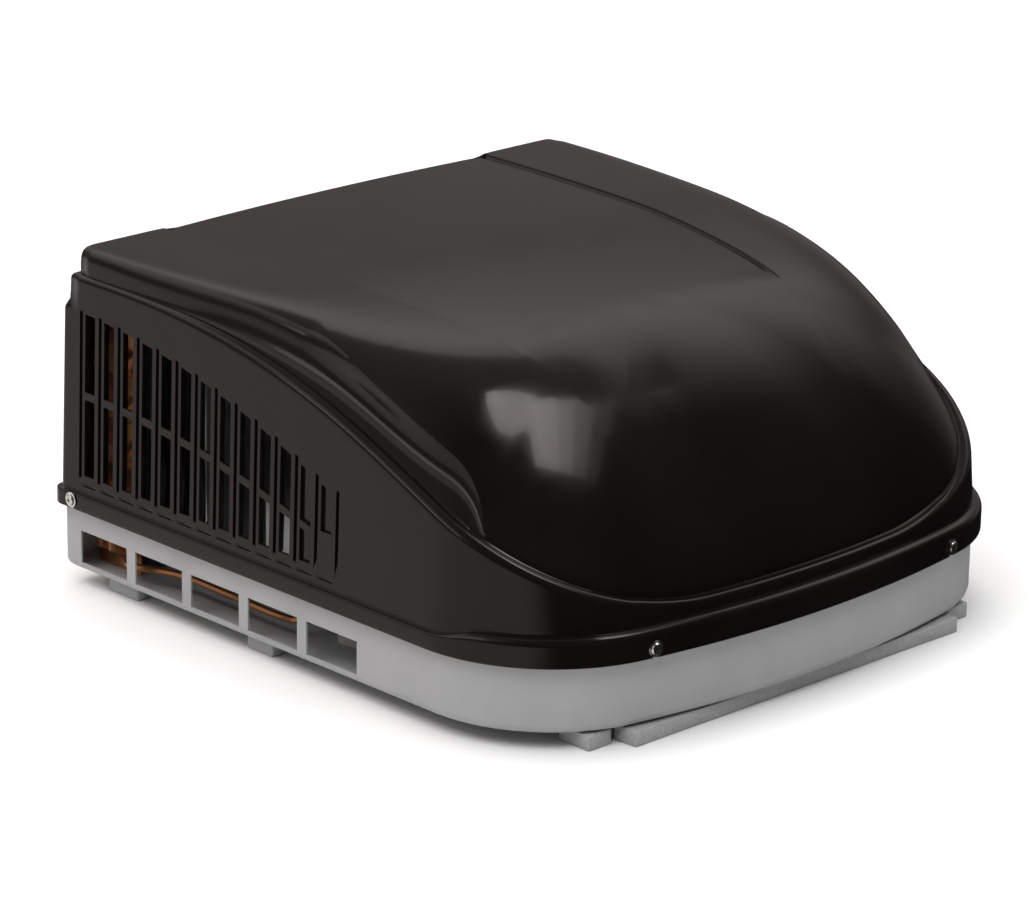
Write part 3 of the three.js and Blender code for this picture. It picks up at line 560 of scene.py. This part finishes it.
# ------------------------------------------------------------------ materials
class Finish:
    """A principled material that is built node by node."""

    def __init__(self, name, colour, rough, metal=0.0, coat=0.0, coat_rough=0.1, ior=1.5):
        self.material = bpy.data.materials.new(name)
        self.material.use_nodes = True
        self.tree = self.material.node_tree
        self.shader = self.tree.nodes["Principled BSDF"]
        self.set("Base Color", (*colour, 1.0))
        self.set("Roughness", rough)
        self.set("Metallic", metal)
        self.set("Coat Weight", coat)
        self.set("Coat Roughness", coat_rough)
        self.set("IOR", ior)
        coords = self.tree.nodes.new("ShaderNodeTexCoord")
        self.place = coords.outputs["Object"]
        self.height = None

    def set(self, name, value):
        self.shader.inputs[name].default_value = value

    def link(self, source, target):
        self.tree.links.new(source, target)

    def noise(self, scale, detail=4.0, stretch=(1, 1, 1)):
        mapping = self.tree.nodes.new("ShaderNodeMapping")
        mapping.inputs["Scale"].default_value = stretch
        self.link(self.place, mapping.inputs["Vector"])
        node = self.tree.nodes.new("ShaderNodeTexNoise")
        node.inputs["Scale"].default_value = scale
        node.inputs["Detail"].default_value = detail
        self.link(mapping.outputs["Vector"], node.inputs["Vector"])
        return node.outputs["Fac"]

    def ramp(self, fac, low, high):
        """Spreads a 0.3 to 0.7 noise between two values or two colours."""
        node = self.tree.nodes.new("ShaderNodeMapRange")
        node.inputs["From Min"].default_value = 0.3
        node.inputs["From Max"].default_value = 0.7
        node.inputs["To Min"].default_value = low
        node.inputs["To Max"].default_value = high
        self.link(fac, node.inputs["Value"])
        return node.outputs["Result"]

    def vary_colour(self, fac, first, second):
        mix = self.tree.nodes.new("ShaderNodeMix")
        mix.data_type = "RGBA"
        mix.inputs["A"].default_value = (*first, 1.0)
        mix.inputs["B"].default_value = (*second, 1.0)
        self.link(self.ramp(fac, 0.0, 1.0), mix.inputs["Factor"])
        self.link(mix.outputs["Result"], self.shader.inputs["Base Color"])

    def vary_roughness(self, fac, low, high):
        self.link(self.ramp(fac, low, high), self.shader.inputs["Roughness"])

    def bump(self, fac, strength, distance):
        node = self.tree.nodes.new("ShaderNodeBump")
        node.inputs["Strength"].default_value = strength
        node.inputs["Distance"].default_value = distance
        self.link(fac, node.inputs["Height"])
        if self.height is not None:
            self.link(self.height, node.inputs["Normal"])
        self.height = node.outputs["Normal"]
        self.link(self.height, self.shader.inputs["Normal"])


def cover_plastic():
    """Dark brown-black moulded ABS: glossy, with faint moulding waviness and fine pores."""
    finish = Finish("cover_plastic", (0.005, 0.004, 0.0038), 0.2, coat=0.12, coat_rough=0.06)
    finish.set("Specular IOR Level", 0.2)
    finish.set("Specular Tint", (1.0, 0.88, 0.85, 1.0))
    finish.vary_colour(finish.noise(9, 5), (0.0042, 0.0033, 0.0031), (0.0062, 0.005, 0.0047))
    finish.vary_roughness(finish.noise(30, 6), 0.13, 0.19)
    finish.bump(finish.noise(900, 3), 0.05, 0.0002)
    finish.bump(finish.noise(6, 2), 0.012, 0.004)
    return finish.material


def pan_paint():
    finish = Finish("pan_paint", (0.38, 0.381, 0.383), 0.55)
    finish.vary_colour(finish.noise(14, 5), (0.36, 0.361, 0.363), (0.40, 0.401, 0.403))
    finish.vary_roughness(finish.noise(60, 5), 0.5, 0.66)
    finish.bump(finish.noise(600, 4), 0.12, 0.0003)
    return finish.material


def foam(name, dark, light, cell):
    finish = Finish(name, light, 0.95)
    finish.vary_colour(finish.noise(cell, 6), dark, light)
    finish.bump(finish.noise(cell * 1.7, 5), 0.5, 0.0006)
    return finish.material


def white_foam():
    """Expanded polystyrene: white beads pressed together."""
    finish = Finish("white_foam", (0.75, 0.75, 0.73), 0.85)
    cells = finish.tree.nodes.new("ShaderNodeTexVoronoi")
    cells.inputs["Scale"].default_value = 260
    finish.link(finish.place, cells.inputs["Vector"])
    finish.vary_colour(finish.noise(20, 4), (0.70, 0.70, 0.68), (0.80, 0.80, 0.78))
    finish.bump(cells.outputs["Distance"], 0.35, 0.0008)
    return finish.material


def metal(name, first, second, rough, stretch=(1, 1, 1), scale=40.0):
    finish = Finish(name, first, rough, metal=1.0)
    finish.vary_colour(finish.noise(scale, 5, stretch), first, second)
    finish.vary_roughness(finish.noise(scale * 3, 4, stretch), rough * 0.8, rough * 1.25)
    finish.bump(finish.noise(scale * 12, 3, stretch), 0.06, 0.0002)
    return finish.material


def moulding(name, first, second, rough, grain=700.0):
    finish = Finish(name, first, rough)
    finish.vary_colour(finish.noise(25, 5), first, second)
    finish.vary_roughness(finish.noise(80, 4), rough * 0.88, rough * 1.15)
    finish.bump(finish.noise(grain, 4), 0.12, 0.0002)
    return finish.material


MATERIALS = {
    "cover_plastic": cover_plastic(),
    "pan_paint": pan_paint(),
    "grey_foam": foam("grey_foam", (0.33, 0.332, 0.336), (0.42, 0.422, 0.426), 300),
    "white_foam": white_foam(),
    "galvanised": metal("galvanised", (0.42, 0.43, 0.44), (0.52, 0.53, 0.54), 0.42, scale=90),
    "fin_stock": metal("fin_stock", (0.50, 0.51, 0.52), (0.60, 0.61, 0.62), 0.38, (1, 1, 0.2)),
    "copper": metal("copper", (0.55, 0.22, 0.11), (0.66, 0.30, 0.17), 0.3),
    "black_enamel": moulding("black_enamel", (0.012, 0.012, 0.013), (0.02, 0.02, 0.021), 0.38),
    "dark_plastic": moulding("dark_plastic", (0.018, 0.018, 0.02), (0.028, 0.028, 0.03), 0.5),
    "screw_steel": metal("screw_steel", (0.62, 0.62, 0.60), (0.72, 0.72, 0.70), 0.26, scale=400),
    "black_rubber": moulding("black_rubber", (0.010, 0.010, 0.010), (0.017, 0.017, 0.017), 0.75),
    "red_cable": moulding("red_cable", (0.28, 0.015, 0.010), (0.36, 0.022, 0.014), 0.45),
}


def dress_nodes():
    """Gives every CAD node the procedural material of its slot."""
    for item in frame["record"]["materials"]:
        for node in item.get("nodes", []):
            mesh = frame["nodes"][node].data
            mesh.materials.clear()
            mesh.materials.append(MATERIALS[item["slot"]])


# ------------------------------------------------------------------ pieces
def make_cover():
    """The cover's shell, open at the louvres and at the slots for the screws."""
    plan = COVER_PLAN
    rows = cover_rows(plan)
    first_wall = LIP_ROWS + len(LOW_WALL_Z)
    slots = {first_wall: True, first_wall + 1: False, first_wall + 2: True}
    x, y = plan.lip
    is_side = plan.kind == SIDE

    def in_louvre(station):
        middle = (y[station] + y[station + 1]) / 2
        if is_side[station] and is_side[station + 1]:
            column = round((LOUVRE_FIRST_Y - middle) / LOUVRE_PITCH)
            inside = abs(middle - louvre_y(column)) < LOUVRE_WIDTH / 2
            return column if inside and 0 <= column < LOUVRE_COUNT else None
        if plan.kind[station] == REAR and plan.kind[station + 1] == REAR:
            across = abs(x[station] + x[station + 1]) / 2
            column = round(across / REAR_LOUVRE_PITCH)
            inside = abs(across - column * REAR_LOUVRE_PITCH) < REAR_LOUVRE_WIDTH / 2
            return 0 if inside and column <= REAR_LOUVRES // 2 else None
        return None

    def in_slot(station):
        across, along = abs(x[station] + x[station + 1]) / 2, (y[station] + y[station + 1]) / 2
        if plan.kind[station] == BOW:
            return abs(across - SCREW_X) < SLOT_WIDTH / 2
        return is_side[station] and abs(along - SCREW_Y) < SLOT_WIDTH / 2

    def is_open(row, station):
        if station + 1 >= len(x):
            return False
        if row < len(LIP_FOOT) - 1:
            return in_slot(station)
        if not first_wall <= row <= first_wall + 2:
            return False
        column = in_louvre(station)
        if column is None:
            return False
        return slots[row] or column == LOUVRE_COUNT - 1

    make_blanks(rows, first_wall)
    carve_grooves(plan, rows, first_wall)
    return shell("cover_shell", plan, rows, is_open, COVER_WALL, MATERIALS["cover_plastic"],
                 "cover", ["cover"])


def make_blanks(rows, first_wall):
    """The frontmost louvres are moulded shut: a plate closes each one just inside the wall."""
    off_side = FAR * (COVER_PLAN.kind != SIDE)
    for column in range(LOUVRE_COUNT - BLANK_LOUVRES, LOUVRE_COUNT):
        rear, front = [np.argmin(np.abs(COVER_PLAN.value - louvre_y(column) - offset) + off_side)
                       for offset in (LOUVRE_WIDTH / 2 + 1, -LOUVRE_WIDTH / 2 - 1)]
        corners = [rows[first_wall][rear], rows[first_wall][front],
                   rows[first_wall + 3][front], rows[first_wall + 3][rear]]
        corners = [corner + (0, 0, lift) for corner, lift in zip(corners, (-1, -1, 1, 1))]
        for side, label in ((1, "left"), (-1, "right")):
            points = []
            for depth in (COVER_WALL + 0.05, COVER_WALL + 1.8):
                points += [((x + depth) * side, y, z) for x, y, z in corners]
            faces = [(0, 1, 2, 3), (4, 5, 6, 7)]
            faces += [(i, (i + 1) % 4, (i + 1) % 4 + 4, i + 4) for i in range(4)]
            name = f"louvre_blank_{column + 1}_{label}"
            mesh = mesh_from(name, points, faces, sharp=30.0)
            add_object(name, mesh, MATERIALS["cover_plastic"], "cover")


def carve_grooves(plan, rows, first_wall):
    """Sinks the channels between the louvre columns, and the short notches at their feet."""
    lip_y = plan.lip[1]
    sink = np.zeros(len(lip_y))
    foot = np.zeros(len(lip_y))
    for column in range(LOUVRE_COUNT + 1):
        rear_edge = louvre_y(column) + LOUVRE_WIDTH / 2 + GROOVE_REAR
        middle = rear_edge + GROOVE_WIDTH / 2
        sink[(plan.kind == SIDE) & (np.abs(lip_y - middle) < GROOVE_WIDTH / 2 - EDGE / 2)] = 1
        if column < LOUVRE_COUNT:
            near = np.abs(lip_y - louvre_y(column)) < LOUVRE_WIDTH / 2 + 0.1
            foot[(plan.kind == SIDE) & near] = 1
    for row in range(first_wall, first_wall + 4):
        rows[row][:, 0] += sink * GROOVE_DEPTH
    notch = LIP_ROWS + LOW_WALL_Z.index(25.9)
    for row in (notch, notch + 1):
        rows[row][:, 0] += foot * NOTCH_DEPTH


def make_pan():
    """The painted pan under the cover, with rounded lower edge and five windows on each side."""
    low, high = node_box("base_pan")
    edges = []
    for i in range(WINDOWS):
        y = WINDOW_FIRST_Y - i * WINDOW_PITCH
        edges += [y + WINDOW_WIDTH / 2, y, y - WINDOW_WIDTH / 2]
    edges += list(np.linspace(edges[-1] - 20, NOSE_Y + 8, 6))
    plan = Outline([0.0, 115.0, 230.0], edges, bow_stations())
    rows = []
    for inset, z in pan_profile(low[2], high[2]):
        x, y = plan.at(np.full(len(plan.value), inset))
        rows.append(np.stack([x, y, np.full(len(x), z)], 1))
    window_row = next(i for i, row in enumerate(rows) if abs(row[0][2] - WINDOW_LOW) < 0.01)

    def is_open(row, station):
        if row != window_row or station + 1 >= len(plan.value):
            return False
        if plan.kind[station] != SIDE or plan.kind[station + 1] != SIDE:
            return False
        middle = (plan.value[station] + plan.value[station + 1]) / 2
        index = round((WINDOW_FIRST_Y - middle) / WINDOW_PITCH)
        return index < WINDOWS and abs(middle - WINDOW_FIRST_Y + index * WINDOW_PITCH) < WINDOW_WIDTH / 2

    return shell("pan_shell", plan, rows, is_open, PAN_WALL, MATERIALS["pan_paint"],
                 "base", ["base_pan"], PAN_OPENINGS)


def pan_profile(bottom, top):
    """(inset, height) from the middle of the floor outwards, round the edge and up the wall."""
    profile = [(PAN_INSET + 50, bottom), (PAN_INSET + 30, bottom)]
    turns = 6
    for i in range(turns):
        angle = math.pi / 2 * i / turns
        z = bottom + PAN_RADIUS * (1 - math.cos(angle))
        profile.append((PAN_INSET + PAN_RADIUS * (1 - math.sin(angle)), z))
    return profile + [(PAN_INSET + 0.1, WINDOW_LOW), (PAN_INSET, WINDOW_HIGH), (PAN_INSET, top)]


# ------------------------------------------------------------------ small pieces
def blocks_mesh(name, boxes, bevel=0.0, sharp=35.0):
    """Plates and pads from (low, high) corners in millimetres, with softened edges."""
    build = bmesh.new()
    for low, high in boxes:
        middle = (np.array(low) + np.array(high)) / 2 * MM
        size = (np.array(high) - np.array(low)) * MM
        turn = Matrix.Translation(middle) @ Matrix.Diagonal((*size, 1.0))
        bmesh.ops.create_cube(build, size=1.0, matrix=turn)
    if bevel:
        bmesh.ops.bevel(build, geom=build.edges, offset=bevel * MM, segments=3, profile=0.5, affect="EDGES")
    mesh = bpy.data.meshes.new(name)
    build.to_mesh(mesh)
    build.free()
    finish_shading(mesh, sharp)
    return mesh


def turned_mesh(name, profile, place, sides=64, shape=None):
    """A solid of revolution from (radius, height) corners, put in place by a matrix in metres."""
    points = []
    for radius, height in profile:
        for i in range(sides):
            angle = 2 * math.pi * i / sides
            point = Vector((radius * math.cos(angle), radius * math.sin(angle), height))
            if shape:
                point.z += shape(point.x, point.y)
            points.append(place @ point)
    faces = []
    for r in range(len(profile) - 1):
        for i in range(sides):
            j = (i + 1) % sides
            faces.append((r * sides + i, r * sides + j, (r + 1) * sides + j, (r + 1) * sides + i))
    return mesh_from(name, points, faces)


def cross_recess(x, y):
    """Depth of a screwdriver cross at a point on the head's top."""
    arm = 0.75 - 0.1 * math.hypot(x, y)
    inside = min(abs(x), abs(y)) < arm and max(abs(x), abs(y)) < 3.0
    return -1.7 if inside else 0.0


def make_screws():
    """Pan-head screws with a flange and a cross recess, one at each seat on the lip."""
    rings = [3.4 - 0.2 * i for i in range(17)]
    head = [(0.0, -19.0), (1.3, -18.2), (2.0, -16.0), (2.0, 0.4), (7.8, 0.4), (8.0, 0.7), (8.0, 1.3),
            (7.7, 1.6), (6.2, 1.8), (5.9, 2.2), (5.6, 3.0), (4.9, 3.6), (4.2, 3.85)]
    head += [(radius, 4.0 - 0.012 * radius ** 2) for radius in rings]
    head.append((0.0, 4.0))
    front_y = BOW_CENTRE_Y - math.sqrt(BOW_RADIUS ** 2 - SCREW_X ** 2)
    lean = math.asin(SCREW_X / BOW_RADIUS)
    seats = {"front_left": (-SCREW_X, front_y, -math.pi / 2 - lean),
             "front_right": (SCREW_X, front_y, -math.pi / 2 + lean),
             "rear_left": (-WIDTH / 2, SCREW_Y, math.pi), "rear_right": (WIDTH / 2, SCREW_Y, 0.0)}
    for name, (x, y, turn) in seats.items():
        place = Matrix.Translation((x, y, SCREW_Z)) @ Matrix.Rotation(turn, 4, "Z")
        place = place @ Matrix.Rotation(math.pi / 2, 4, "Y") @ Matrix.Rotation(turn * 3.1, 4, "Z")
        mesh = turned_mesh("screw_" + name, head, place, 72, recess_at_top)
        add_object("screw_" + name, mesh, MATERIALS["screw_steel"], "base",
                   ["cover_screw_" + name])


def recess_at_top(x, y):
    return cross_recess(x, y) if math.hypot(x, y) < 3.3 else 0.0


def make_feet():
    """Dense foam pads and the front support strip, cut from sheet and softened at their edges."""
    for node in ("rear_foot_left", "rear_foot_right", "middle_foot_left", "middle_foot_right",
                 "front_foot_left", "front_foot_right", "front_support_strip"):
        low, high = node_box(node)
        mesh = blocks_mesh(node + "_pad", [(low, high)], bevel=1.6)
        add_object(node + "_pad", mesh, MATERIALS["grey_foam"], "base", [node])


def make_coil(node, name, pitch):
    """A fin pack: thin upright plates across the whole width of the coil."""
    low, high = node_box(node)
    count = int((high[0] - low[0]) / pitch)
    fins = []
    for i in range(count):
        x = low[0] + (high[0] - low[0] - 0.4) * i / (count - 1)
        fins.append(((x, low[1], low[2]), (x + 0.4, high[1], high[2])))
    mesh = blocks_mesh(name, fins)
    add_object(name, mesh, MATERIALS["fin_stock"], "base", [node])


# ------------------------------------------------------------------ stage
def aim(position, target):
    direction = Vector(target) - Vector(position)
    return direction.to_track_quat("-Z", "Y").to_euler()


def add_area(name, size, power, matrix):
    """A light panel that is seen in reflections and adds no diffuse light."""
    light = bpy.data.lights.new(name, "AREA")
    light.shape = "RECTANGLE"
    light.size, light.size_y = size
    light.energy = power
    lamp = bpy.data.objects.new(name, light)
    bpy.context.scene.collection.objects.link(lamp)
    lamp.matrix_world = matrix
    lamp.visible_diffuse = False


def add_softbox():
    """A studio softbox that fades across its width, made of strips side by side."""
    along, across = BOX_ALONG.normalized(), BOX_ACROSS.normalized()
    turn = Matrix((along, across, along.cross(across))).transposed().to_4x4()
    strip_width = BOX_WIDTH / len(STRIP_POWERS)
    for i, power in enumerate(STRIP_POWERS):
        offset = (i + 0.5) * strip_width - BOX_WIDTH / 2
        place = Matrix.Translation(LIT_POINT + BOX_CENTRE + across * offset)
        add_area(f"softbox_{i + 1}", (BOX_LENGTH, strip_width), power, place @ turn)


def set_stage():
    """The floor, the room and the lights."""
    floor_mesh = bpy.data.meshes.new("floor")
    size = 30.0
    floor_mesh.from_pydata([(-size, -size, 0), (size, -size, 0), (size, size, 0), (-size, size, 0)],
                           [], [(0, 1, 2, 3)])
    floor = bpy.data.objects.new("floor", floor_mesh)
    bpy.context.scene.collection.objects.link(floor)
    paper = Finish("paper_white", (0.86, 0.86, 0.86), 0.9)
    paper.set("Specular IOR Level", 0.0)
    floor_mesh.materials.append(paper.material)
    floor.visible_glossy = False
    set_world()
    sun = bpy.data.lights.new("ceiling", "SUN")
    sun.energy = CEILING_POWER
    sun.angle = math.radians(CEILING_ANGLE)
    lamp = bpy.data.objects.new("ceiling", sun)
    bpy.context.scene.collection.objects.link(lamp)
    lamp.rotation_euler = aim(CEILING_PLACE, (0, 0, 0))
    lamp.visible_glossy = False
    add_softbox()
    place = LIT_POINT + Vector(polar(*LEFT_BOX_PLACE))
    turn = aim(place, LIT_POINT).to_matrix().to_4x4()
    add_area("left_box", LEFT_BOX_SIZE, LEFT_BOX_POWER, Matrix.Translation(place) @ turn)


CEILING_POWER = 3.5
CEILING_ANGLE = 75
CEILING_PLACE = (-0.5, -0.2, 3.0)
ROOM_TINT = (1.0, 0.94, 0.91, 1.0)
WALL_LIGHT = 0.25
SKY_LIGHT = 1.35
TABLE_LIGHT = 0.9
LIT_POINT = Vector((-0.2, -0.22, 0.28))
BOX_CENTRE = Vector((1.19, -0.80, 2.49))
BOX_ALONG = Vector((-0.54, -1.13, -0.10))
BOX_ACROSS = Vector((0.94, -0.42, -0.53))
BOX_LENGTH = 1.25
BOX_WIDTH = 1.16
STRIP_POWERS = (7.0, 6.2, 4.2, 2.2, 0.7)
LEFT_BOX_PLACE = (108, 24, 3.0)
LEFT_BOX_SIZE = (2.2, 0.55)
LEFT_BOX_POWER = 9.0


def polar(azimuth, elevation, distance):
    """A place by its angle from -Y towards -X, its angle above the horizon and its distance."""
    flat = distance * math.cos(math.radians(elevation))
    turn = math.radians(azimuth)
    return (-flat * math.sin(turn), -flat * math.cos(turn), distance * math.sin(math.radians(elevation)))


def set_world():
    """A studio seen only in reflections: light behind and on the left, and dark in front."""
    world = bpy.data.worlds.new("studio")
    world.use_nodes = True
    tree = world.node_tree
    background = tree.nodes["Background"]
    background.inputs["Color"].default_value = ROOM_TINT
    coords = tree.nodes.new("ShaderNodeTexCoord")

    def spread(towards, start, end, low, high):
        along = tree.nodes.new("ShaderNodeVectorMath")
        along.operation = "DOT_PRODUCT"
        along.inputs[1].default_value = towards
        tree.links.new(coords.outputs["Generated"], along.inputs[0])
        change = tree.nodes.new("ShaderNodeMapRange")
        change.interpolation_type = "SMOOTHSTEP"
        change.inputs["From Min"].default_value = start
        change.inputs["From Max"].default_value = end
        change.inputs["To Min"].default_value = low
        change.inputs["To Max"].default_value = high
        tree.links.new(along.outputs["Value"], change.inputs["Value"])
        return change.outputs["Result"]

    def product(first, second):
        node = tree.nodes.new("ShaderNodeMath")
        node.operation = "MULTIPLY"
        tree.links.new(first, node.inputs[0])
        tree.links.new(second, node.inputs[1])
        return node.outputs["Value"]

    walls = spread(polar(180, 0, 1), -0.35, 0.2, 0.05, 1.0)
    rise = spread((0, 0, 1), 0.3, 0.7, WALL_LIGHT, SKY_LIGHT)
    ceiling = spread((0, 0, 1), 0.75, 0.79, 1.0, 0.25)
    table = spread(polar(125, 0, 1), 0.0, 0.4, 0.01, TABLE_LIGHT)
    mix = tree.nodes.new("ShaderNodeMix")
    tree.links.new(spread((0, 0, 1), -0.1, 0.03, 0.0, 1.0), mix.inputs["Factor"])
    tree.links.new(table, mix.inputs["A"])
    tree.links.new(product(product(walls, rise), ceiling), mix.inputs["B"])
    tree.links.new(mix.outputs["Result"], background.inputs["Strength"])
    bpy.context.scene.world = world
    bpy.context.scene.view_settings.view_transform = "Standard"


CAMERA_LENS = 159.78
CAMERA_PLACE = Vector((-3.05818, -3.10742, 1.62859))
CAMERA_RIGHT = Vector((0.72258, -0.69114, 0.01431))
CAMERA_UP = Vector((0.21166, 0.24090, 0.94719))
CAMERA_AHEAD = Vector((0.65809, 0.68139, -0.32036))


def set_camera():
    """A long lens 4.6 m from the object's middle, at its front left and 18 degrees above it."""
    camera = bpy.data.cameras.new("camera")
    camera.sensor_fit = "HORIZONTAL"
    camera.sensor_width = 36.0
    camera.lens = CAMERA_LENS
    holder = bpy.data.objects.new("camera", camera)
    bpy.context.scene.collection.objects.link(holder)
    turn = Matrix((CAMERA_RIGHT, CAMERA_UP, -CAMERA_AHEAD)).transposed().to_4x4()
    holder.matrix_world = Matrix.Translation(CAMERA_PLACE) @ turn
    bpy.context.scene.camera = holder


set_camera()
dress_nodes()
make_cover()
make_pan()
make_screws()
make_feet()
make_coil("condenser_fin_pack", "condenser_fins", 3.0)
make_coil("evaporator_fin_pack", "evaporator_fins", 3.0)
set_stage()
